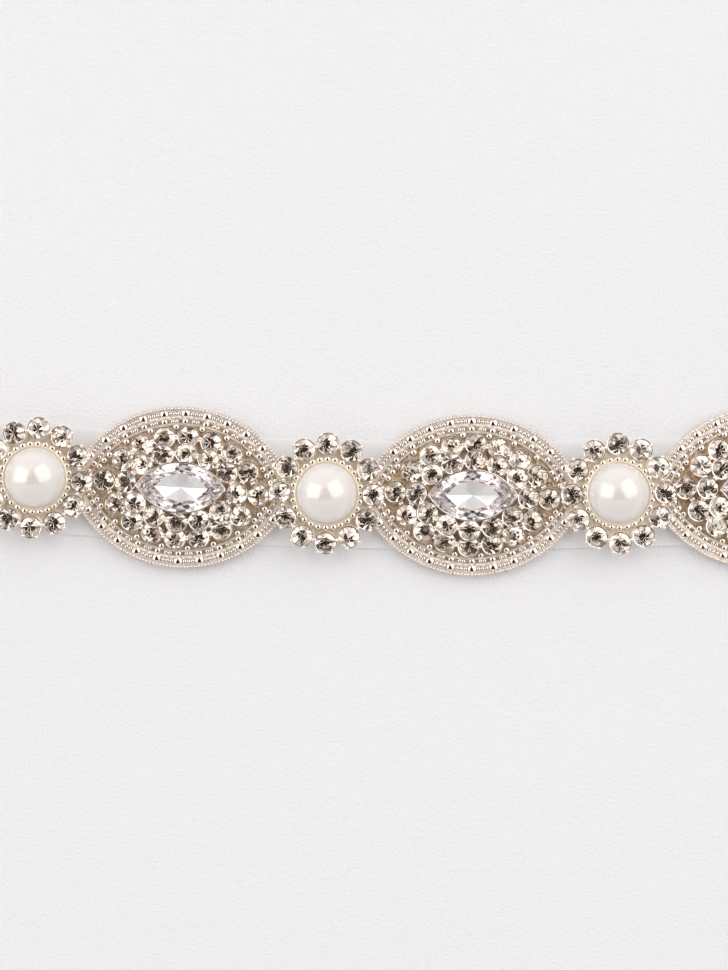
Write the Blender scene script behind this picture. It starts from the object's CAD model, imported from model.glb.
import math
import random

import bmesh
import bpy
from bpy.props import FloatProperty, FloatVectorProperty, IntProperty, PointerProperty
from mathutils import Matrix, Vector


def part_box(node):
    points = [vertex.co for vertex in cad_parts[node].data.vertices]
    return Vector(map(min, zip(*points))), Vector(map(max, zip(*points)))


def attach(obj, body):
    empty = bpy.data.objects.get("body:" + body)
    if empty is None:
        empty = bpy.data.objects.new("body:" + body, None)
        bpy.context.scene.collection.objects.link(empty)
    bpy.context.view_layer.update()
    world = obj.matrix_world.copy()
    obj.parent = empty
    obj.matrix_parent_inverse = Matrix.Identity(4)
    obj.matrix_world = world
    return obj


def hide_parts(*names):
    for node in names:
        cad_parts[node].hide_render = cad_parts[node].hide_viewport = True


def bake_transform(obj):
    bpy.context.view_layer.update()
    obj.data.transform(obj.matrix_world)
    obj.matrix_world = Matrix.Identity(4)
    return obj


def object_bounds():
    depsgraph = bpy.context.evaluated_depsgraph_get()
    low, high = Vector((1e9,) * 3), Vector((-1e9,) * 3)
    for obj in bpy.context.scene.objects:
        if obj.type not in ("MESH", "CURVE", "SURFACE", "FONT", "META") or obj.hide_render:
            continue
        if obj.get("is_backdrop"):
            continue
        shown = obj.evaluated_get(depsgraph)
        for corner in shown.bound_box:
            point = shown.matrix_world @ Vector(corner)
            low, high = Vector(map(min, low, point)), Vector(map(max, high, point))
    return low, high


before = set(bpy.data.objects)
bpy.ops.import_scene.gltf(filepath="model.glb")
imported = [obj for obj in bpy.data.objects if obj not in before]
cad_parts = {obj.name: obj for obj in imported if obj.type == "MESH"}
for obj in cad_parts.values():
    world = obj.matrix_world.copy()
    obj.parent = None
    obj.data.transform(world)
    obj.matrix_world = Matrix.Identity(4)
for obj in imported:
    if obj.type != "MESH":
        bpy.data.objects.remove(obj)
CAD_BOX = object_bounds()

bl_info = {
    "name": "Ribbon headband",
    "version": (1, 0, 0),
    "blender": (4, 5, 0),
    "location": "View3D > Sidebar > Headband",
    "description": "Satin ribbon with cast flowers and marquise plates, pearls and paste stones",
    "category": "Object",
}

MM = 0.001
COUNTS = {"flower": 6, "marquise": 5}
MIDDLE_MARQUISE = "marquise_3"
MIDDLE_FLOWER = "flower_3"

OUTER_STONES = 7
INNER_STONES = 5
RING_STONES = 12
BEZEL_BEADS = 28
END_STUDS = 3

LAP = 0.05 * MM  # how far one part is let into another
FOOT = 0.1 * MM  # how far a foot is let into its floor
EDGE = 0.08 * MM  # rounding of the castings' edges
SLACK = 0.02 * MM  # play between a setting and what it holds

BEAD_ROUND = 60  # degrees below which a bead's facets are shaded round
EDGE_ROUND = 40  # the same for all other surfaces


# ---- sizes and finishes


def length(name, description, mm):
    return FloatProperty(
        name=name, description=description, default=mm * MM, unit="LENGTH", precision=5
    )


def angle(name, description, degrees):
    return FloatProperty(
        name=name, description=description, default=math.radians(degrees), subtype="ANGLE"
    )


def share(name, description, part):
    return FloatProperty(
        name=name, description=description, default=part, min=0, max=1, subtype="FACTOR"
    )


def colour(name, description, rgb):
    return FloatVectorProperty(
        name=name, description=description, default=rgb, subtype="COLOR", min=0, max=1
    )


class HeadbandBand(bpy.types.PropertyGroup):
    """Layout of the band and its ribbon"""

    pitch: length("Pitch", "Spacing from one flower to the next", 43)
    sweep: length("Sweep radius", "Radius of the shallow curve the band is laid in", 800)
    ribbon_width: length("Ribbon width", "Width of the satin ribbon", 16)
    ribbon_gauge: length("Ribbon gauge", "Thickness of the satin itself", 0.28)
    hem: length("Selvedge", "Width of the woven edge of the ribbon", 0.75)
    hem_rise: length("Selvedge rise", "How far the woven edge stands proud", 0.05)
    bend_reach: length("Bend reach", "How far from its line a bend eases out", 2)
    tie_run: length("Tie run", "Straight ribbon from the last bend to the roll", 12)
    core: length("Roll core", "Bare radius at the heart of a rolled tie", 2)
    wound: length("Wound length", "Length of ribbon wound on each roll", 480)


class HeadbandMarquise(bpy.types.PropertyGroup):
    """Marquise plate, its borders, bead rows and crystal"""

    length: length("Length", "Length of the plate from tip to tip", 34)
    height: length("Height", "Height of the plate across the band", 23.8)
    floor: length("Floor", "Thickness of the sunk floor", 0.6)
    border_rise: length("Border rise", "Height of the border above the floor", 0.5)
    border_width: length("Border width", "Width of the raised border", 2.7)
    rim_rise: length("Rim rise", "Height of the outer rim above the border", 0.3)
    rim_width: length("Rim width", "Width of the outer rim", 0.3)
    rim_bead: length("Rim bead", "Diameter of the fine beads along the rim", 0.4)
    rim_step: length("Rim bead step", "Spacing of the fine beads along the rim", 0.52)
    pad_length: length("Pad length", "Length of the flat pads between the bead rows", 1.5)
    pad_width: length("Pad width", "Width of the flat pads", 0.6)
    pad_height: length("Pad height", "Height of the flat pads above their land", 0.16)
    pad_step: length("Pad step", "Spacing of the flat pads", 1.72)
    tab: length("Tab", "Length of the bare sewing tab at each tip", 2.4)
    bead_rise: share("Bead rise", "Height of a bead as a share of its radius", 0.36)
    channel: length("Channel", "Width of the channel of each bead row", 0.5)
    land_rise: length("Land rise", "Height of the lands above their channels", 0.08)
    outer_row: length("Outer row", "Distance of the outer bead row inside the outline", 0.95)
    inner_row: length("Inner row", "Distance of the inner bead row inside the outline", 2.1)
    large_bead: length("Large bead", "Diameter of the large beads of the outer row", 1.25)
    middle_bead: length("Middle bead", "Diameter of the middle beads of the inner row", 0.85)
    small_bead: length("Small bead", "Diameter of the small beads", 0.58)
    large_step: length("Large bead step", "Spacing of the large beads", 3.2)
    middle_step: length("Middle bead step", "Spacing of the middle beads", 3.1)
    small_step: length("Small bead step", "Spacing of the small beads in one run", 0.62)
    stud_row: length("Stud row", "Distance of the studs inside the outline", 2.95)
    stud: length("Stud", "Diameter of the studs between the outer stones", 0.95)
    stud_rise: length("Stud rise", "Height of the studs above the border", 0.2)
    stud_step: length("Stud step", "Spacing of the studs past the last outer stone", 1.15)
    pave_row: length("Paving row", "Distance of the outer stones inside the outline", 4.35)
    pave_curve: length("Paving curve", "Radius of the curve of the outer stones", 12.3)
    pave_gap: length("Paving gap", "Distance from outer to inner row of stones", 2.43)
    pave_rise: length("Paving rise", "Height of the inner row above the outer", 1)
    outer_pave_step: length("Outer paving step", "Spacing of the outer stones", 3.5)
    inner_pave_step: length("Inner paving step", "Spacing of the inner stones", 3.4)
    pave_lean: angle("Paving lean", "Turn of the paving about the plate's middle", 2.6)
    tip_stone: length("Tip stone", "Distance from the field's tip to its last stone", 2.7)
    crystal_length: length("Crystal length", "Length of the crystal", 12.8)
    crystal_height: length("Crystal height", "Height of the crystal across the band", 7.2)
    table_in: length("Table inset", "Inset of the crystal's table from its girdle", 1)
    crown: length("Crown", "Height of the crystal's crown", 0.8)
    girdle: length("Girdle", "Height of the crystal's girdle", 0.15)
    back: length("Back", "Depth of the crystal's pointed back", 2.2)
    belt: length("Belt depth", "Depth below the girdle where the back breaks to its fan", 1.3)
    belt_long: share("Belt length", "Length of the belt as a share of the girdle's", 0.62)
    belt_high: share("Belt height", "Height of the belt as a share of the girdle's", 0.6)
    fan: length("Fan depth", "Depth below the girdle of the fan's point", 1.9)
    collar: length("Collar", "Wall of the collar around the crystal", 0.25)
    collar_rise: length("Collar rise", "Reach of the collar past the girdle", 0.2)


class HeadbandFlower(bpy.types.PropertyGroup):
    """Flower casting and its pearl"""

    plate: length("Plate", "Thickness of the flower's plate", 0.8)
    plate_radius: length("Plate radius", "Radius of the plate between the stones", 7.4)
    ring_x: length("Ring along", "Radius of the ring of stones along the band", 6.9)
    ring_y: length("Ring across", "Radius of the ring of stones across the band", 7.3)
    prong: length("Prong ball", "Diameter of the balls that hold the ring stones", 0.6)
    prong_turn: angle("Prong turn", "Turn of a ball from a stone's outer point", 38)
    flange: length("Flange", "Thickness of the sewing flange", 0.6)
    flange_gap: length("Flange gap", "Gap from the flange to the bend beside it", 0.4)
    cup_hole: length("Cup hole", "Radius of the hole in the plate under a cup", 1.05)
    neck: length("Neck", "Radius of the neck between flange and plate", 2.5)
    pearl: length("Pearl", "Diameter of the half pearl", 8.9)
    pearl_foot: length("Pearl foot", "Height of the pearl's straight foot", 0.5)
    bezel: length("Bezel", "Wall of the bezel around the pearl", 0.3)
    ledge: length("Ledge", "Height of the bezel ledge above the plate", 0.7)
    ledge_width: length("Ledge width", "Width of the ledge outside the beads", 0.2)
    bead_ring: length("Bead ring", "Radius of the ring of beads round the pearl", 5.05)
    bead: length("Bezel bead", "Diameter of the beads round the pearl", 0.8)
    bead_rise: share("Bead rise", "Height of a bead as a share of its radius", 0.4)


class HeadbandStone(bpy.types.PropertyGroup):
    """Round paste stone and its cup"""

    diameter: length("Diameter", "Diameter of the seat at the girdle", 3.1)
    corners: length("Corners", "Diameter over the corners that bed in the cup", 3.24)
    table: length("Table", "Diameter of the flat table", 1.7)
    crown: length("Crown", "Height of the crown", 0.49)
    girdle: length("Girdle", "Height of the thin girdle", 0.04)
    back: length("Back", "Depth of the seat of the pointed back", 1.27)
    culet_sink: length("Culet sink", "Reach of the deepest point past its seat", 0.3)
    culet_off: length("Culet offset", "Sideways offset of the points", 0.28)
    wall: length("Cup wall", "Wall of the cup around the girdle", 0.13)
    lip: length("Cup lip", "Height of the turned-in lip above the girdle", 0.06)
    foot: length("Cup foot", "Radius of the foot of a cup", 1)
    facets: IntProperty(name="Facets", description="Main facets round a stone", default=8)
    tilt: angle("Tilt", "Most that a hand-set stone leans", 7)
    claw: length("Claw", "Diameter of the claw balls between paved stones", 0.5)
    claw_reach: length("Claw reach", "Widest spacing of two stones that share a claw", 3.95)


class HeadbandFinish(bpy.types.PropertyGroup):
    """Colours of the finishes"""

    cast: colour("Casting", "Pale champagne silver of the beads and cups", (0.95, 0.86, 0.78))
    land: colour("Lands", "Duller plate of the flat faces", (0.88, 0.775, 0.69))
    gilt: colour("Gilt", "Pale gold plate under the flowers", (1.0, 0.85, 0.67))
    bed: colour("Bed", "Gilt floor between the stones", (0.55, 0.41, 0.28))
    recess: colour("Recess", "Tarnished channels of the bead rows", (0.36, 0.26, 0.18))
    foil: colour("Silver foil", "Foil on the backs of the crystals", (0.96, 0.93, 0.93))
    warm_foil: colour("Warm foil", "Foil on the backs of the stones", (0.88, 0.82, 0.765))
    pearl: colour("Pearl", "Pale edge of the pearls", (0.92, 0.9, 0.9))
    nacre: colour("Nacre", "Warm body of the pearls", (0.82, 0.75, 0.695))
    satin: colour("Satin", "White of the ribbon", (0.86, 0.86, 0.87))
    thread: colour("Thread", "White of the sewing thread", (0.88, 0.87, 0.85))
    cloth: colour("Cloth", "Pale floor cloth", (0.85, 0.835, 0.847))


GROUPS = {
    "headband_band": HeadbandBand,
    "headband_marquise": HeadbandMarquise,
    "headband_flower": HeadbandFlower,
    "headband_stone": HeadbandStone,
    "headband_finish": HeadbandFinish,
}


def values(group):
    """The scene's values of one group: band, marquise, flower, stone or finish"""
    return getattr(bpy.context.scene, "headband_" + group)


# ---- places


def unit_matrix(s):
    """Turn and shift of a unit that lies a distance s along the shallow curve"""
    sweep = values("band").sweep
    turn = s / sweep
    shift = Vector((sweep * math.sin(turn), sweep * (1 - math.cos(turn)), 0))
    return Matrix.Translation(shift) @ Matrix.Rotation(turn, 4, "Z")


def unit_s(kind, k):
    """Distance along the curve of the unit k of a kind"""
    return (2 * k - COUNTS[kind] - 1) * values("band").pitch / 2


def units(kind):
    """Body and place of each unit of a kind"""
    for k in range(1, COUNTS[kind] + 1):
        yield f"{kind}_{k}", unit_matrix(unit_s(kind, k))


def low(node):
    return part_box(node)[0]


def high(node):
    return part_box(node)[1]


def ribbon_top():
    return high(MIDDLE_MARQUISE + "_ribbon")[2]


def floor_top():
    """Height of the sunk floor of a marquise plate"""
    return ribbon_top() + values("marquise").floor


def border_top():
    """Height of the channels of a marquise plate's border"""
    return floor_top() + values("marquise").border_rise


def flower_top():
    """Height of a flower's plate, where the pearl stands"""
    return low(MIDDLE_FLOWER + "_pearl")[2]


def flower_to_bend():
    """Distance along the band from a flower's middle to the bend beside it"""
    return (values("band").pitch - values("marquise").length) / 2


def lip_rise():
    """Height of a cup's lip above the seat of its stone"""
    stone = values("stone")
    return stone.back + stone.girdle + stone.lip


def tab_start():
    """Where the border ends and the bare tab begins, from the plate's middle"""
    m = values("marquise")
    return m.length / 2 - m.tab


def lens(long, wide):
    """Radius of the two circles that cross in a lens, and the offset of their centres"""
    radius = (long * long + wide * wide) / (4 * wide)
    return radius, radius - wide / 2


def plate_lens(inset=0.0):
    """The lens of a marquise plate, some way inside its outline"""
    m = values("marquise")
    radius, off = lens(m.length, m.height)
    return radius - inset, off


def on_arc(radius, off, side, turn, z):
    """Point on the upper arc of a lens (side 1) or the lower one (side -1)"""
    return Vector((radius * math.sin(turn), side * (radius * math.cos(turn) - off), z))


def arc_turn(off, side, point):
    """Turn at which a point lies on such an arc"""
    return math.atan2(point.x, side * point.y + off)


def even_turns(radius, reach, step):
    """Turns of an evenly spaced row on an arc, as far as its reach along the band"""
    count = int(radius * math.asin(reach / radius) / step)
    return [i * step / radius for i in range(-count, count + 1)]


def stone_rows(side):
    """Points of the backs of the outer and the inner stones on one side of the crystal"""
    m = values("marquise")
    off = m.pave_curve - m.height / 2 + m.pave_row
    level = low(MIDDLE_MARQUISE + "_stones")[2]
    rows = []
    for count, step, radius, z in (
        (OUTER_STONES, m.outer_pave_step, m.pave_curve, level),
        (INNER_STONES, m.inner_pave_step, m.pave_curve - m.pave_gap, level + m.pave_rise),
    ):
        apart = 2 * math.asin(step / (2 * radius))
        turns = [(i - (count - 1) / 2) * apart + side * m.pave_lean for i in range(count)]
        rows.append([on_arc(radius, off, side, turn, z) for turn in turns])
    return rows


def pave_places():
    """Points of the backs of all the paved stones of a marquise"""
    m = values("marquise")
    radius, off = plate_lens(m.border_width)
    outer_tip = math.sqrt(radius * radius - off * off) - m.tip_stone
    inner_tip = outer_tip - values("stone").diameter
    places = []
    for side in (1, -1):
        outer, inner = stone_rows(side)
        places += outer + inner
        for tip, z in ((outer_tip, outer[0].z), (inner_tip, inner[0].z)):
            x, y = tip * math.cos(m.pave_lean), tip * math.sin(m.pave_lean)
            places.append(Vector((-side * x, side * y, z)))
    return places


def round_ring(count, along, across, z):
    """Evenly spaced points round the middle of a flower, on a circle or an ellipse"""
    turns = [math.tau * i / count for i in range(count)]
    return [Vector((along * math.cos(a), across * math.sin(a), z)) for a in turns]


def ring_places():
    """Points of the backs of a flower's stones"""
    f = values("flower")
    return round_ring(RING_STONES, f.ring_x, f.ring_y, low(MIDDLE_FLOWER + "_stones")[2])


# ---- finishes


class Nodes:
    """Shader nodes of a material or of the sky, added one at a time"""

    def __init__(self, owner):
        owner.use_nodes = True
        self.nodes = owner.node_tree.nodes
        self.links = owner.node_tree.links

    def node(self, kind, inputs=None, **choices):
        """Outputs of a new node; its inputs take values or other nodes' outputs"""
        made = self.nodes.new(kind)
        for key, value in choices.items():
            setattr(made, key, value)
        for key, value in (inputs or {}).items():
            if isinstance(value, bpy.types.NodeSocket):
                self.links.new(value, made.inputs[key])
            else:
                made.inputs[key].default_value = value
        return made.outputs

    def slope(self, value, start, end, first=0.0, last=1.0):
        """Goes evenly from first to last while the value goes from start to end"""
        reach = {"From Min": start, "From Max": end, "To Min": first, "To Max": last}
        return self.node("ShaderNodeMapRange", {"Value": value, **reach})["Result"]

    def maths(self, operation, *numbers):
        inputs = dict(enumerate(numbers))
        return self.node("ShaderNodeMath", inputs, operation=operation)["Value"]

    def mix(self, factor, first, second):
        """Colour between two, each a value or another node's output"""
        inputs = {"Factor": factor, "A": first, "B": second}
        return self.node("ShaderNodeMix", inputs, data_type="RGBA")["Result"]


class Finish(Nodes):
    """A material in the making"""

    def __init__(self, name, **fixed):
        self.material = bpy.data.materials.new(name)
        super().__init__(self.material)
        for key, value in fixed.items():
            socket = self.shader_input(key)
            socket.default_value = (*value, 1) if socket.type == "RGBA" else value
        self.place = self.node("ShaderNodeTexCoord")["Object"]

    def shader_input(self, name):
        return self.nodes["Principled BSDF"].inputs[name.replace("_", " ")]

    def set(self, **sources):
        """Link the shader's inputs and hand over the material"""
        for name, source in sources.items():
            self.links.new(source, self.shader_input(name))
        return self.material

    def noise(self, scale, detail=3):
        inputs = {"Vector": self.place, "Scale": scale, "Detail": detail}
        return self.node("ShaderNodeTexNoise", inputs)["Fac"]

    def wave(self, vector, direction, scale, distortion, detail=2):
        inputs = {"Vector": vector, "Scale": scale, "Distortion": distortion, "Detail": detail}
        return self.node("ShaderNodeTexWave", inputs, bands_direction=direction)["Fac"]

    def ramp(self, factor, first, last):
        return self.slope(factor, 0, 1, first, last)

    def tones(self, factor, first, second):
        return self.mix(factor, (*first, 1), (*second, 1))

    def bump(self, height, strength, distance):
        inputs = {"Height": height, "Strength": strength, "Distance": distance}
        return self.node("ShaderNodeBump", inputs)["Normal"]


def shade(rgb, factor):
    return tuple(min(1, c * factor) for c in rgb)


def cast_finish(name, c, smoothest, roughest, dents, metallic=1.0):
    """Pale plate with the soft unevenness of a casting, from bright to matt"""
    f = Finish(name, Metallic=metallic)
    cloud = f.noise(420)
    return f.set(
        Base_Color=f.tones(cloud, shade(c, 0.93), shade(c, 1.05)),
        Roughness=f.ramp(cloud, smoothest, roughest),
        Normal=f.bump(f.noise(1500, 2), 0.7, dents),
    )


def matt_cast():
    return cast_finish("matt_cast", values("finish").land, 0.36, 0.5, 0.16 * MM)


def gilt_cast():
    return cast_finish("gilt_cast", values("finish").gilt, 0.3, 0.45, 0.05 * MM, 0.7)


def bright_cast():
    return cast_finish("bright_cast", values("finish").cast, 0.05, 0.1, 0.003 * MM)


def dull_finish(name, c):
    """Grainy dull plate in the hollows of a casting, with a cloudy tarnish"""
    f = Finish(name, Metallic=0.85)
    cloud = f.noise(700, 2)
    grains = f.node("ShaderNodeTexVoronoi", {"Vector": f.place, "Scale": 1600})["Distance"]
    return f.set(
        Base_Color=f.tones(cloud, shade(c, 0.55), shade(c, 1.45)),
        Roughness=f.ramp(cloud, 0.3, 0.5),
        Normal=f.bump(grains, 0.6, 0.3 * MM),
    )


def bed_finish():
    return dull_finish("gilt_bed", values("finish").bed)


def recess_finish():
    return dull_finish("bead_channel", values("finish").recess)


def glass_finish():
    """Clear cut glass of the stones"""
    f = Finish("cut_glass", Base_Color=(1, 1, 1), Transmission_Weight=1.0, IOR=1.58)
    return f.set(Roughness=f.ramp(f.noise(900, 2), 0.0, 0.02))


def foil_finish(name, c, roughness):
    """Foil on the facets behind the glass"""
    f = Finish(name, Metallic=1.0)
    cloud = f.noise(700, 2)
    return f.set(
        Base_Color=f.tones(cloud, shade(c, 0.94), c),
        Roughness=f.ramp(cloud, roughness * 0.7, roughness * 1.3),
    )


def pearl_finish():
    """Lacquered nacre, warm on top and paler towards its foot"""
    f = Finish(
        "nacre",
        Subsurface_Weight=0.4,
        Subsurface_Radius=(1.0, 0.8, 0.7),
        Subsurface_Scale=0.8 * MM,
        Coat_Weight=1.0,
        Coat_IOR=2.1,
        Coat_Roughness=0.12,
        IOR=1.7,
    )
    foot = flower_top() + values("flower").pearl_foot
    pale_below, warm_above = foot + 0.6 * MM, foot + 4 * MM
    height = f.node("ShaderNodeSeparateXYZ", {"Vector": f.place})["Z"]
    warmth = f.slope(height, pale_below, warm_above)
    return f.set(
        Base_Color=f.tones(warmth, values("finish").pearl, values("finish").nacre),
        Roughness=f.ramp(f.noise(150, 2), 0.26, 0.32),
        Normal=f.bump(f.noise(1900, 2), 0.04, 0.03 * MM),
    )


def satin_finish():
    """Warp-faced satin: long floats along the ribbon over a fine cross weave"""
    c = values("finish").satin
    f = Finish("satin_weave", Sheen_Weight=0.25, Sheen_Roughness=0.4, Specular_IOR_Level=0.35)
    along = f.node("ShaderNodeUVMap")["UV"]
    warp = f.wave(along, "Y", 1400, 0.6, 1)
    weft = f.wave(along, "X", 700, 1.5, 1)
    slub = f.noise(260)
    return f.set(
        Base_Color=f.tones(slub, shade(c, 0.97), shade(c, 1.03)),
        Roughness=f.ramp(slub, 0.38, 0.5),
        Normal=f.bump(f.maths("MULTIPLY", warp, weft), 0.25, 0.05 * MM),
    )


def thread_finish():
    """Twisted sewing thread"""
    c = values("finish").thread
    f = Finish("thread_twist", Roughness=0.7, Sheen_Weight=0.3)
    twist = f.wave(f.place, "DIAGONAL", 1800, 0.5)
    return f.set(
        Base_Color=f.tones(twist, shade(c, 0.85), c),
        Normal=f.bump(twist, 0.5, 0.05 * MM),
    )


def cloth_finish():
    """Matt satin cloth that the band lies on, with its fine grain"""
    c = values("finish").cloth
    f = Finish("floor_cloth", Roughness=0.75, Specular_IOR_Level=0.2)
    return f.set(
        Base_Color=f.tones(f.noise(9, 2), shade(c, 0.985), shade(c, 1.015)),
        Normal=f.bump(f.noise(2400), 0.7, 0.28 * MM),
    )


# ---- mesh helpers


def lens_edges(bm, radius, off, z, steps):
    """Pointed outline of a lens as edges: one tip spun over the top, the other below"""
    tip = math.sqrt(radius * radius - off * off)
    earlier = set(bm.verts)
    for side in (1, -1):
        start = bm.verts.new((side * tip, 0, z))
        bmesh.ops.spin(
            bm, geom=[start], cent=(0, -side * off, z), axis=(0, 0, 1),
            angle=2 * math.acos(off / radius), steps=steps,
        )
    outline = [v for v in bm.verts if v not in earlier]
    bmesh.ops.remove_doubles(bm, verts=outline, dist=1e-6)
    return list({e for v in bm.verts if v not in earlier for e in v.link_edges})


def lens_face(bm, radius, off, z, steps):
    made = bmesh.ops.contextual_create(bm, geom=lens_edges(bm, radius, off, z, steps))
    return made["faces"][0]


def only(kind, geom):
    """The vertices, edges or faces of what an operator gave back"""
    return [g for g in geom if isinstance(g, kind)]


def raise_faces(bm, faces, height):
    """Closed solid from flat faces, extruded upwards; returns the top faces"""
    made = bmesh.ops.extrude_face_region(bm, geom=list(faces), use_keep_orig=True)["geom"]
    bmesh.ops.translate(bm, verts=only(bmesh.types.BMVert, made), vec=(0, 0, height))
    return only(bmesh.types.BMFace, made)


def lens_ring(bm, radius, off, z, width, steps):
    """Flat ring that runs a width inwards from the outline of a lens"""
    face = lens_face(bm, radius, off, z, steps)
    ring = bmesh.ops.inset_region(
        bm, faces=[face], thickness=width, use_even_offset=True, use_boundary=True
    )["faces"]
    bmesh.ops.delete(bm, geom=[face], context="FACES_ONLY")
    return ring


def round_edges(bm, size):
    """Round off every sharp edge"""
    sharpest_kept = 1.0
    sharp = [e for e in bm.edges if e.calc_face_angle(0) > sharpest_kept]
    bmesh.ops.bevel(
        bm, geom=sharp, offset=size, segments=2, profile=0.5, affect="EDGES", material=-1
    )


def spin_profile(bm, points, steps):
    """Turned shape from a profile of (radius, height) points"""
    verts = [bm.verts.new((r, 0, z)) for r, z in points]
    edges = [bm.edges.new(pair) for pair in zip(verts, verts[1:])]
    bmesh.ops.spin(
        bm, geom=verts + edges, cent=(0, 0, 0), axis=(0, 0, 1), angle=math.tau,
        steps=steps, use_merge=True,
    )
    bmesh.ops.remove_doubles(bm, verts=bm.verts, dist=1e-7)


def ball(bm, place, diameter, fineness=2, rise=1.0):
    """Round bead, or a flatter one whose rise is a share of its radius"""
    bmesh.ops.create_icosphere(
        bm, subdivisions=fineness, radius=diameter / 2,
        matrix=Matrix.Translation(place) @ Matrix.Diagonal((1, 1, rise, 1)),
    )


def balls_mesh(finish, places, diameter, fineness=2, rise=1.0):
    bm = bmesh.new()
    for place in places:
        ball(bm, place, diameter, fineness, rise)
    return to_mesh(bm, [finish], BEAD_ROUND)


def add_copies(bm, part, matrices):
    """Add copies of a part to a mesh, one at each place, and free the part"""
    seed = bpy.data.meshes.new("seed")
    for matrix in matrices:
        part.to_mesh(seed)
        seed.transform(matrix)
        bm.from_mesh(seed)
    bpy.data.meshes.remove(seed)
    part.free()
    return bm


def to_mesh(bm, finishes, smooth=None):
    """Mesh data with outward normals, shaded round below an angle in degrees"""
    bmesh.ops.remove_doubles(bm, verts=bm.verts, dist=1e-7)
    bmesh.ops.recalc_face_normals(bm, faces=bm.faces)
    mesh = bpy.data.meshes.new("part")
    bm.to_mesh(mesh)
    bm.free()
    for finish in finishes:
        mesh.materials.append(finish)
    if smooth is not None:
        shade_round(mesh, smooth)
    return mesh


def shade_round(mesh, degrees):
    mesh.polygons.foreach_set("use_smooth", [True] * len(mesh.polygons))
    mesh.set_sharp_from_angle(angle=math.radians(degrees))


def pierced(mesh, holes, smooth):
    """The mesh with the holes cut out of it"""
    solid, cutter = (bpy.data.objects.new(m.name, m) for m in (mesh, holes))
    bpy.context.collection.objects.link(solid)
    bpy.context.collection.objects.link(cutter)
    cut = solid.modifiers.new("cut", "BOOLEAN")
    cut.object, cut.operation, cut.solver = cutter, "DIFFERENCE", "EXACT"
    made = bpy.data.meshes.new_from_object(
        solid.evaluated_get(bpy.context.evaluated_depsgraph_get())
    )
    for used in (mesh, holes):
        bpy.data.meshes.remove(used)
    shade_round(made, smooth)
    return made


def show(mesh, name, body, matrix=None, replaced=()):
    """A copy of a mesh as a named piece, placed in its mesh, riding on its body"""
    data = mesh.copy()
    data.name = name
    if matrix is not None:
        data.transform(matrix)
    piece = bpy.data.objects.new(name, data)
    bpy.context.collection.objects.link(piece)
    if body is not None:
        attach(piece, body)
    if replaced:
        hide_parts(*replaced)
    return piece


def on_every(kind, mesh, part, replaced=None):
    """The same piece on each flower or each marquise"""
    for body, place in units(kind):
        nodes = [f"{body}_{replaced}"] if replaced else []
        show(mesh, f"{body}_{part}", body, place, nodes)
    bpy.data.meshes.remove(mesh)


# ---- marquise plates


def plate_mesh(cast, bed):
    """Sunk floor of the plate with its two sewing tabs; the field between them is gilt"""
    m = values("marquise")
    bm = bmesh.new()
    face = lens_face(bm, *plate_lens(), ribbon_top(), 48)
    top = raise_faces(bm, [face], m.floor)
    bmesh.ops.inset_region(bm, faces=top, thickness=m.border_width / 2, use_even_offset=True)
    for face in top:
        face.material_index = 1
    round_edges(bm, EDGE)
    return to_mesh(bm, [cast, bed], EDGE_ROUND)


def border_mesh(cast, recess):
    """Border with tarnished channels for the beads between bright lands and a thin rim"""
    m = values("marquise")
    half = m.channel / 2
    bands = [
        (0, m.border_width, floor_top(), m.border_rise, 1),
        (0, m.rim_width, border_top(), m.rim_rise, 0),
    ]
    for start, end in (
        (LAP, m.outer_row - half),
        (m.outer_row + half, m.inner_row - half),
        (m.inner_row + half, m.border_width - LAP),
    ):
        bands.append((start, end, border_top(), m.land_rise, 0))
    bm = bmesh.new()
    for start, end, z, rise, finish in bands:
        ring = lens_ring(bm, *plate_lens(start), z - LAP, end - start, 64)
        for top in raise_faces(bm, ring, rise + LAP):
            top.material_index = finish
    for side in (1, -1):
        cut = bmesh.ops.bisect_plane(
            bm, geom=bm.verts[:] + bm.edges[:] + bm.faces[:],
            plane_co=(side * tab_start(), 0, 0), plane_no=(side, 0, 0), clear_outer=True,
        )["geom_cut"]
        bmesh.ops.edgenet_fill(bm, edges=only(bmesh.types.BMEdge, cut))
    return to_mesh(bm, [cast, recess], 35)


def bead_rows_mesh(cast):
    """Two rows of low domed beads along the outline, a run of small after each big"""
    m = values("marquise")
    z = border_top() + m.land_rise
    rng = random.Random("bead rows")
    bm = bmesh.new()
    for inset, step, big, run in (
        (m.outer_row, m.large_step, m.large_bead, 3),
        (m.inner_row, m.middle_step, m.middle_bead, 2),
    ):
        radius, off = plate_lens(inset)
        count = math.ceil(radius / step)
        beads = [(i * step, big, 3) for i in range(-count, count + 1)]
        beads += [
            ((i + 0.5) * step + (j - (run - 1) / 2) * m.small_step, m.small_bead, 2)
            for i in range(-count, count) for j in range(run)
        ]
        for side in (1, -1):
            for u, diameter, fineness in beads:
                place = on_arc(radius, off, side, u / radius, z)
                if abs(place.x) < tab_start():
                    as_cast = diameter * rng.uniform(0.95, 1.03)
                    ball(bm, place, as_cast, fineness, m.bead_rise)
    return to_mesh(bm, [cast], BEAD_ROUND)


def rim_beads_mesh(cast):
    """Fine string of beads along the top of the outer rim"""
    m = values("marquise")
    inset, sunk = m.rim_width * 0.6, m.rim_bead * 0.3
    radius, off = plate_lens(inset)
    z = border_top() + m.rim_rise - sunk
    turns = even_turns(radius, tab_start(), m.rim_step)
    places = [on_arc(radius, off, side, turn, z) for side in (1, -1) for turn in turns]
    return balls_mesh(cast, places, m.rim_bead)


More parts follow.
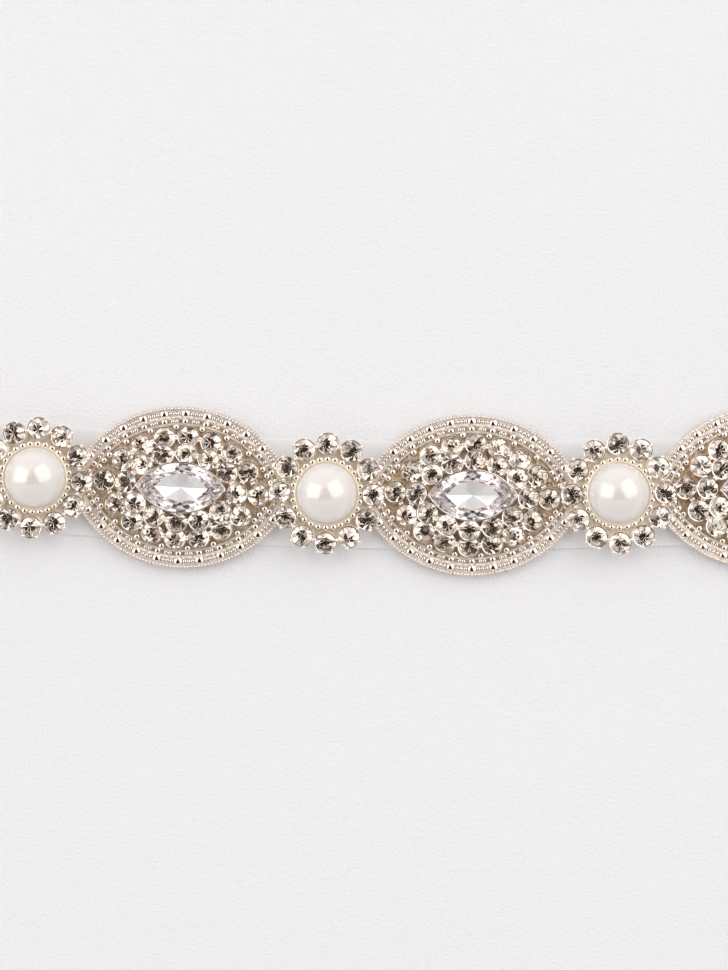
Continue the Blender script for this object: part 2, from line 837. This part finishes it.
def pads_mesh(cast):
    """Low oval pads in a row along the land between the bead rows"""
    m = values("marquise")
    radius, off = plate_lens((m.outer_row + m.inner_row) / 2)
    z = border_top() + m.land_rise
    size = Matrix.Diagonal((m.pad_length, m.pad_width, 2 * m.pad_height, 1))
    shift = m.pad_step / (4 * radius)
    pad = bmesh.new()
    bmesh.ops.create_icosphere(pad, subdivisions=2, radius=0.5, matrix=size)
    places = []
    for side in (1, -1):
        for turn in even_turns(radius, tab_start() - m.tab, m.pad_step):
            turn += side * shift
            place = Matrix.Translation(on_arc(radius, off, side, turn, z))
            places.append(place @ Matrix.Rotation(-side * turn, 4, "Z"))
    return to_mesh(add_copies(bmesh.new(), pad, places), [cast], BEAD_ROUND)


def studs_mesh(cast):
    """Low domed studs in the corners between the outer stones and the border"""
    m = values("marquise")
    radius, off = plate_lens(m.stud_row)
    wide, top = m.stud / 2, m.border_rise + m.stud_rise
    dome = 0.25 * MM
    stud = bmesh.new()
    spin_profile(
        stud,
        [
            (wide, -FOOT),
            (wide, top - dome),
            (wide * 0.9, top - dome * 0.4),
            (wide * 0.65, top - dome * 0.08),
            (0, top),
        ],
        steps=20,
    )
    places = []
    for side in (1, -1):
        row, _ = stone_rows(side)
        turns = [arc_turn(off, side, (p + q) / 2) for p, q in zip(row, row[1:])]
        for end, way in ((row[0], -1), (row[-1], 1)):
            last = arc_turn(off, side, end)
            turns += [last + way * m.stud_step * i / radius for i in range(1, END_STUDS + 1)]
        for turn in turns:
            places.append(Matrix.Translation(on_arc(radius, off, side, turn, floor_top())))
    return to_mesh(add_copies(bmesh.new(), stud, places), [cast], BEAD_ROUND)


def cup_part(foot_z):
    """Tapered cup whose thin lip closes over the girdle; z = 0 is the stone's seat"""
    s = values("stone")
    lip_z = lip_rise()
    outer = s.diameter / 2 + s.wall
    inner = s.diameter / 2 + SLACK
    fold = 0.05 * MM
    pit = -s.culet_sink - fold
    cup = bmesh.new()
    spin_profile(
        cup,
        [
            (0, foot_z),
            (s.foot, foot_z),
            (outer - 0.6 * fold, lip_z - 3 * fold),
            (outer, lip_z - fold),
            (outer - fold, lip_z),
            (inner - fold, lip_z),
            (inner - 2 * fold, lip_z - fold / 2),
            (inner, lip_z - 2 * fold),
            (inner, s.back - fold),
            (1.5 * s.culet_off, pit),
            (0, pit),
        ],
        steps=28,
    )
    return cup


def marquise_cups_mesh(cast):
    places = pave_places()
    bm = bmesh.new()
    for level in {p.z for p in places}:
        row = [Matrix.Translation(p) for p in places if p.z == level]
        add_copies(bm, cup_part(floor_top() - FOOT - level), row)
    return to_mesh(bm, [cast], EDGE_ROUND)


def claws_mesh(cast):
    """Small claw balls on the lips, between neighbouring paved stones"""
    s = values("stone")
    up = Vector((0, 0, 1))
    stones = pave_places()
    places = []
    for i, p in enumerate(stones):
        for q in stones[:i]:
            if (p - q).length < s.claw_reach:
                middle = (p + q) / 2 + up * lip_rise()
                aside = (q - p).cross(up).normalized() * s.claw * 0.4
                places += [middle - aside, middle + aside]
    return balls_mesh(cast, places, s.claw)


def collar_mesh(cast):
    """Hollow seat of the crystal: a thin wall that stands on the floor and holds the girdle"""
    m = values("marquise")
    foot_taper = (0.8, 0.78, 1)
    radius, off = lens(m.crystal_length, m.crystal_height)
    foot_z = floor_top() - FOOT
    top_z = low(MIDDLE_MARQUISE + "_crystal")[2] + m.back + m.girdle + m.collar_rise
    bm = bmesh.new()
    ring = lens_ring(bm, radius + m.collar, off, foot_z, m.collar - SLACK, 32)
    foot = list({v for face in ring for v in face.verts})
    raise_faces(bm, ring, top_z - foot_z)
    bmesh.ops.scale(bm, verts=foot, vec=foot_taper)
    round_edges(bm, EDGE * 0.75)
    return to_mesh(bm, [cast], EDGE_ROUND)


class HEADBAND_OT_marquise_castings(bpy.types.Operator):
    """Make the marquise plates: floor, border, bead rows, cups and crystal collar"""

    bl_idname = "headband.marquise_castings"
    bl_label = "Marquise castings"

    def execute(self, context):
        matt, bright = matt_cast(), bright_cast()
        plate = plate_mesh(matt, bed_finish())
        on_every("marquise", plate, "plate", replaced="setting")
        on_every("marquise", border_mesh(matt, recess_finish()), "border")
        on_every("marquise", bead_rows_mesh(bright), "bead_rows")
        on_every("marquise", rim_beads_mesh(bright), "rim_beads")
        on_every("marquise", pads_mesh(matt), "pads")
        on_every("marquise", studs_mesh(bright), "studs")
        on_every("marquise", marquise_cups_mesh(bright), "cups")
        on_every("marquise", claws_mesh(bright), "claws")
        on_every("marquise", collar_mesh(bright), "collar")
        return {"FINISHED"}


# ---- flowers


def flower_plate_mesh(cast):
    """Turned plate with its bezel ledge above and the neck and sewing flange below"""
    f = values("flower")
    top = flower_top()
    under = top - f.plate
    ribbon = ribbon_top()
    flange = flower_to_bend() - f.flange_gap
    rim = f.bead_ring + f.ledge_width
    ledge = top + f.ledge
    lip, lip_top = ledge + f.bead * 0.3, ledge + f.bead * 0.36
    wall = f.pearl / 2 + f.bezel
    seat = f.pearl / 2 - LAP
    bm = bmesh.new()
    spin_profile(
        bm,
        [
            (0, ribbon),
            (flange - EDGE, ribbon),
            (flange, ribbon + EDGE),
            (flange, ribbon + f.flange - EDGE),
            (flange - EDGE, ribbon + f.flange),
            (f.neck + EDGE, ribbon + f.flange),
            (f.neck, ribbon + f.flange + EDGE),
            (f.neck, under),
            (f.plate_radius - EDGE, under),
            (f.plate_radius, under + EDGE),
            (f.plate_radius, top - EDGE),
            (f.plate_radius - EDGE, top),
            (rim + EDGE, top),
            (rim, top + EDGE),
            (rim, ledge - EDGE),
            (rim - EDGE, ledge),
            (wall, ledge),
            (wall, lip),
            (wall - EDGE, lip_top),
            (seat, lip),
            (seat, top),
            (0, top),
        ],
        steps=96,
    )
    holes = bmesh.new()
    for p in ring_places():
        bmesh.ops.create_cone(
            holes, cap_ends=True, segments=24, radius1=f.cup_hole, radius2=f.cup_hole,
            depth=4 * f.plate, matrix=Matrix.Translation((p.x, p.y, top - f.plate / 2)),
        )
    return pierced(to_mesh(bm, [cast]), to_mesh(holes, []), EDGE_ROUND)


def bezel_beads_mesh(cast):
    """Ring of beads round the pearl"""
    f = values("flower")
    places = round_ring(BEZEL_BEADS, f.bead_ring, f.bead_ring, flower_top() + f.ledge)
    return balls_mesh(cast, places, f.bead, 3, f.bead_rise)


def flower_cups_mesh(cast):
    places = ring_places()
    cup = cup_part(flower_top() - values("flower").plate - places[0].z)
    bm = add_copies(bmesh.new(), cup, [Matrix.Translation(p) for p in places])
    return to_mesh(bm, [cast], EDGE_ROUND)


def prongs_mesh(cast):
    """Two small balls on the outer side of every cup and one in the gap to the next cup"""
    f, s = values("flower"), values("stone")
    reach = s.diameter / 2 + s.wall
    lip = Vector((0, 0, lip_rise()))
    ring = ring_places()
    places = []
    for p, q in zip(ring, ring[1:] + ring[:1]):
        outward = math.atan2(p.y, p.x)
        for a in (outward - f.prong_turn, outward + f.prong_turn):
            places.append(p + lip + reach * Vector((math.cos(a), math.sin(a), 0)))
        places.append((p + q) / 2 + lip)
    return balls_mesh(cast, places, f.prong)


class HEADBAND_OT_flower_castings(bpy.types.Operator):
    """Make the flower castings: plate with bezel and flange, beads, cups and prong balls"""

    bl_idname = "headband.flower_castings"
    bl_label = "Flower castings"

    def execute(self, context):
        bright = bright_cast()
        on_every("flower", flower_plate_mesh(gilt_cast()), "plate", replaced="setting")
        on_every("flower", bezel_beads_mesh(bright), "bezel_beads")
        on_every("flower", flower_cups_mesh(bright), "cups")
        on_every("flower", prongs_mesh(bright), "prongs")
        return {"FINISHED"}


class HEADBAND_OT_pearls(bpy.types.Operator):
    """Make the half pearls"""

    bl_idname = "headband.pearls"
    bl_label = "Pearls"

    def execute(self, context):
        f = values("flower")
        radius, seat = f.pearl / 2, flower_top()
        foot = seat + f.pearl_foot
        heel = 0.1 * MM
        profile = [(0, seat), (radius - heel, seat), (radius, foot - 2 * heel)]
        for i in range(21):
            a = math.pi / 2 * i / 20
            profile.append((radius * math.cos(a), foot + radius * math.sin(a)))
        bm = bmesh.new()
        spin_profile(bm, profile, steps=64)
        mesh = to_mesh(bm, [pearl_finish()], EDGE_ROUND)
        on_every("flower", mesh, "half_pearl", "pearl")
        return {"FINISHED"}


# ---- stones


def gem_part(sink):
    """Stone with a table, triangular crown facets and a point that is a little off centre"""
    s = values("stone")
    half_turn = Matrix.Rotation(math.pi / s.facets, 4, "Z")
    bm = bmesh.new()
    for wide, z, turn in (
        (s.table, s.back + s.girdle + s.crown, half_turn),
        (s.corners, s.back + s.girdle, Matrix()),
        (s.corners, s.back, Matrix()),
    ):
        bmesh.ops.create_circle(
            bm, segments=s.facets, radius=wide / 2,
            matrix=Matrix.Translation((0, 0, z)) @ turn,
        )
    bm.verts.new((s.culet_off, 0, -sink))
    return faceted(bm)


def faceted(bm):
    """Flat facets of a cut stone from its corner points; the back facets get the foil"""
    hull = bmesh.ops.convex_hull(bm, input=bm.verts[:])
    spare = only(bmesh.types.BMVert, hull["geom_unused"])
    bmesh.ops.delete(bm, geom=spare, context="VERTS")
    bmesh.ops.dissolve_limit(
        bm, angle_limit=math.radians(0.5), verts=bm.verts[:], edges=bm.edges[:]
    )
    bmesh.ops.recalc_face_normals(bm, faces=bm.faces)
    for face in bm.faces:
        face.material_index = int(face.normal.z < -0.05)
        face.smooth = False
    return bm


def gems_mesh(places, seed, glass, foil):
    """Stones of three depths, each turned and leaning a little as set by hand"""
    s = values("stone")
    rng = random.Random(seed)
    hub = Matrix.Translation((0, 0, s.back))
    matrices = []
    for p in places:
        lean = Matrix.Rotation(rng.uniform(0, s.tilt), 4, "X")
        heading = Matrix.Rotation(rng.uniform(0, math.tau), 4, "Z")
        spin = Matrix.Rotation(rng.uniform(0, math.tau), 4, "Z")
        matrices.append(Matrix.Translation(p) @ hub @ heading @ lean @ spin @ hub.inverted())
    rng.shuffle(matrices)
    bm = bmesh.new()
    for i, depth in enumerate((0.5, 0.75, 1)):
        add_copies(bm, gem_part(s.culet_sink * depth), matrices[i::3])
    return to_mesh(bm, [glass, foil])


class HEADBAND_OT_stones(bpy.types.Operator):
    """Make the round stones of the flowers and the marquise plates"""

    bl_idname = "headband.stones"
    bl_label = "Round stones"

    def execute(self, context):
        glass = glass_finish()
        foil = foil_finish("warm_foil", values("finish").warm_foil, roughness=0.06)
        for kind, stones in (("flower", ring_places()), ("marquise", pave_places())):
            for body, place in units(kind):
                mesh = gems_mesh(stones, body, glass, foil)
                nodes = [f"{body}_stones"]
                show(mesh, f"{body}_gems", body, place, nodes)
                bpy.data.meshes.remove(mesh)
        return {"FINISHED"}


class HEADBAND_OT_crystals(bpy.types.Operator):
    """Make the marquise crystals: large table, crown facets and a facet fan to one point"""

    bl_idname = "headband.crystals"
    bl_label = "Marquise crystals"

    def execute(self, context):
        m = values("marquise")
        radius, off = lens(m.crystal_length, m.crystal_height)
        girdle_z = low(MIDDLE_MARQUISE + "_crystal")[2] + m.back
        bm = bmesh.new()
        for inset, rise, steps in (
            (m.table_in, m.girdle + m.crown, 4), (0, m.girdle, 8), (0, 0, 8)
        ):
            lens_edges(bm, radius - inset, off, girdle_z + rise, steps)
        belt = lens_edges(bm, radius, off, girdle_z - m.belt, 4)
        corners = list({v for e in belt for v in e.verts})
        bmesh.ops.scale(bm, verts=corners, vec=(m.belt_long, m.belt_high, 1))
        bm.verts.new((0, 0, girdle_z - m.fan))
        foil = foil_finish("silver_foil", values("finish").foil, roughness=0.05)
        mesh = to_mesh(faceted(bm), [glass_finish(), foil])
        on_every("marquise", mesh, "cut_crystal", "crystal")
        return {"FINISHED"}


# ---- ribbon, ties, stitches


def ribbon_mesh(along, frame_at, finish):
    """Woven strip: frame_at(u) is the place of its top face, X along and Z out of it"""
    band = values("band")
    half, hem = band.ribbon_width / 2, band.hem
    edge = [(-half, 0), (-half + hem * 0.35, band.hem_rise), (-half + hem, 0)]
    middle = [((half - hem) * i / 6, 0) for i in range(-5, 6)]
    section = edge + middle + [(-y, z) for y, z in reversed(edge)]
    bm = bmesh.new()
    uv = bm.loops.layers.uv.new("UVMap")
    rows = []
    for u in along:
        here = frame_at(u)
        rows.append([bm.verts.new(here @ Vector((0, y, z))) for y, z in section])
    for i in range(len(rows) - 1):
        for j in range(len(section) - 1):
            corners = ((i, j), (i + 1, j), (i + 1, j + 1), (i, j + 1))
            face = bm.faces.new([rows[a][b] for a, b in corners])
            for loop, (a, b) in zip(face.loops, corners):
                loop[uv].uv = (along[a], section[b][0])
    bm.normal_update()
    bmesh.ops.solidify(bm, geom=bm.faces[:], thickness=band.ribbon_gauge)
    return to_mesh(bm, [finish], EDGE_ROUND)


def lay_ribbon(name, mesh, bend, nodes):
    """Show a length of ribbon that bends between two bodies about the place of its bend"""
    band = values("band")
    piece = show(mesh, name, None, None, nodes)
    bpy.data.meshes.remove(mesh)
    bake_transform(piece)


def facing(side):
    """Half a turn for what runs the other way along the band"""
    return Matrix.Rotation(0 if side > 0 else math.pi, 4, "Z")


class HEADBAND_OT_ribbon(bpy.types.Operator):
    """Make the satin ribbon, one length from the middle of each unit to the next"""

    bl_idname = "headband.ribbon"
    bl_label = "Ribbon"

    def execute(self, context):
        half_pitch = values("band").pitch / 2
        steps = 24
        tip = values("marquise").length / 2
        lift = Matrix.Translation((0, 0, ribbon_top()))
        satin = satin_finish()
        for k in range(1, COUNTS["marquise"] + 1):
            for side, flower in ((-1, k), (1, k + 1)):
                s = unit_s("marquise", k)
                along = sorted(s + side * half_pitch * i / steps for i in range(steps + 1))
                mesh = ribbon_mesh(along, lambda u: unit_matrix(u) @ lift, satin)
                bodies = (f"marquise_{k}", f"flower_{flower}")
                lay_ribbon(
                    f"ribbon_marquise_{k}_to_flower_{flower}", mesh,
                    unit_matrix(s + side * tip) @ facing(side),
                    [f"{body}_ribbon" for body in bodies],
                )
        return {"FINISHED"}


class HEADBAND_OT_ties(bpy.types.Operator):
    """Make the two tie ends: a short flat run that winds up into a roll"""

    bl_idname = "headband.ties"
    bl_label = "Rolled ties"

    def execute(self, context):
        band = values("band")
        to_bend = flower_to_bend()
        top = ribbon_top()
        roll = high("right_tie")[2] / 2
        outer = roll - top
        run = band.tie_run + roll
        turn = math.pi * (outer * outer - band.core * band.core) / band.wound
        steps_a_turn, flat_steps = 40, 16
        satin = satin_finish()

        def wound_frame(u):
            """Place on the flat run, or on the turns that close in evenly after it"""
            if u <= run:
                return Matrix.Translation((u, 0, top))
            r = math.sqrt(outer * outer - turn * (u - run) / math.pi)
            a = (outer - r) * math.tau / turn
            centre = Matrix.Translation((run, 0, roll))
            return centre @ Matrix.Rotation(-a, 4, "Y") @ Matrix.Translation((0, 0, -r))

        steps = int((outer - band.core) / turn * steps_a_turn)
        along = [-to_bend + (run + to_bend) * i / flat_steps for i in range(flat_steps + 1)]
        for i in range(1, steps + 1):
            r = outer - (outer - band.core) * i / steps
            along.append(run + math.pi * (outer * outer - r * r) / turn)
        for side, body, flower in ((-1, "left_tie", 1), (1, "right_tie", COUNTS["flower"])):
            bend = unit_matrix(unit_s("flower", flower) + side * to_bend) @ facing(side)
            mesh = ribbon_mesh(along, lambda u: bend @ wound_frame(u), satin)
            lay_ribbon(
                f"{body}_ribbon", mesh, bend,
                [body, f"flower_{flower}_ribbon"],
            )
        return {"FINISHED"}


class HEADBAND_OT_stitches(bpy.types.Operator):
    """Give the sewing stitches their twisted thread finish"""

    bl_idname = "headband.stitches"
    bl_label = "Stitches"

    def execute(self, context):
        thread = thread_finish()
        for name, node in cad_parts.items():
            if name.endswith("_stitches"):
                for slot in node.material_slots:
                    slot.material = thread
        return {"FINISHED"}


# ---- stage


def sky_light():
    """Pale tent light, dimmer on one side, with a dark wedge overhead where no light hangs"""
    world = bpy.data.worlds.new("studio")
    bpy.context.scene.world = world
    sky = Nodes(world)
    way = sky.node("ShaderNodeTexCoord")["Generated"]
    split = sky.node("ShaderNodeSeparateXYZ", {"Vector": way})
    y = split["Y"]
    tent = sky.slope(y, -1, 1, 0.66, 0.88)

    # Dark within a width that narrows towards +Y, short of the -Y side and of the horizon
    spread = sky.maths("MULTIPLY_ADD", y, 0.5, sky.maths("ABSOLUTE", split["X"]))
    beside = sky.slope(spread, 0.3, 0.36)
    beyond = sky.slope(y, -0.38, -0.45)
    below = sky.slope(split["Z"], 0.3, 0.2)
    clear = sky.maths("MAXIMUM", sky.maths("MAXIMUM", beside, beyond), below)
    shown = sky.mix(clear, (0.035, 0.024, 0.018, 1), tent)
    sky.links.new(shown, sky.nodes["Background"].inputs["Color"])


def soft_lamp(name, toward, size, power, distance=0.9):
    """Soft light that faces the middle of the band from a direction"""
    data = bpy.data.lights.new(name, "AREA")
    data.shape = "RECTANGLE"
    data.size, data.size_y = size
    data.energy = power
    lamp = bpy.data.objects.new(name, data)
    bpy.context.collection.objects.link(lamp)
    lamp.location = Vector(toward).normalized() * distance
    lamp.rotation_mode = "QUATERNION"
    lamp.rotation_quaternion = Vector(toward).to_track_quat("Z", "Y")


class HEADBAND_OT_stage(bpy.types.Operator):
    """Make the floor cloth, the studio light and the camera"""

    bl_idname = "headband.stage"
    bl_label = "Stage"

    def execute(self, context):
        scene = bpy.context.scene
        bm = bmesh.new()
        bmesh.ops.create_grid(bm, x_segments=1, y_segments=1, size=1.5)
        mesh = bpy.data.meshes.new("floor")
        bm.to_mesh(mesh)
        bm.free()
        mesh.materials.append(cloth_finish())
        floor = bpy.data.objects.new("floor", mesh)
        scene.collection.objects.link(floor)
        floor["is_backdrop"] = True

        sky_light()
        soft_lamp("left_softbox", (-0.785, 0.165, 0.6), size=(0.8, 0.9), power=2.9)
        soft_lamp("right_softbox", (0.565, 0.3, 0.77), size=(1.05, 1.0), power=3.85)

        data = bpy.data.cameras.new("camera")
        data.lens = 87.3
        data.clip_start, data.clip_end = 0.01, 10
        camera = bpy.data.objects.new("camera", data)
        scene.collection.objects.link(camera)
        camera.location = (-16.0 * MM, 1.54 * MM, 350 * MM)
        scene.camera = camera
        scene.view_settings.view_transform = "Standard"
        scene.cycles.max_bounces = 16
        scene.cycles.glossy_bounces = 12
        scene.cycles.transmission_bounces = 16
        return {"FINISHED"}


class HEADBAND_PT_panel(bpy.types.Panel):
    """Sizes, finishes and the making of the headband"""

    bl_label = "Headband"
    bl_idname = "HEADBAND_PT_panel"
    bl_space_type = "VIEW_3D"
    bl_region_type = "UI"
    bl_category = "Headband"

    def draw(self, context):
        for operator in OPERATORS:
            self.layout.operator(operator.bl_idname)
        for name, group in GROUPS.items():
            box = self.layout.box()
            box.label(text=group.__doc__)
            for prop in group.__annotations__:
                box.prop(getattr(context.scene, name), prop)


OPERATORS = (
    HEADBAND_OT_marquise_castings,
    HEADBAND_OT_flower_castings,
    HEADBAND_OT_pearls,
    HEADBAND_OT_stones,
    HEADBAND_OT_crystals,
    HEADBAND_OT_ribbon,
    HEADBAND_OT_ties,
    HEADBAND_OT_stitches,
    HEADBAND_OT_stage,
)
CLASSES = (*GROUPS.values(), *OPERATORS, HEADBAND_PT_panel)


def register():
    for cls in CLASSES:
        bpy.utils.register_class(cls)
    for name, group in GROUPS.items():
        setattr(bpy.types.Scene, name, PointerProperty(type=group))


def unregister():
    for name in GROUPS:
        delattr(bpy.types.Scene, name)
    for cls in reversed(CLASSES):
        bpy.utils.unregister_class(cls)


def main():
    register()
    for operator in OPERATORS:
        area, name = operator.bl_idname.split(".")
        getattr(getattr(bpy.ops, area), name)()
    corners = [[list(corner) for corner in box] for box in (CAD_BOX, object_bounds())]


if __name__ == "__main__":
    main()
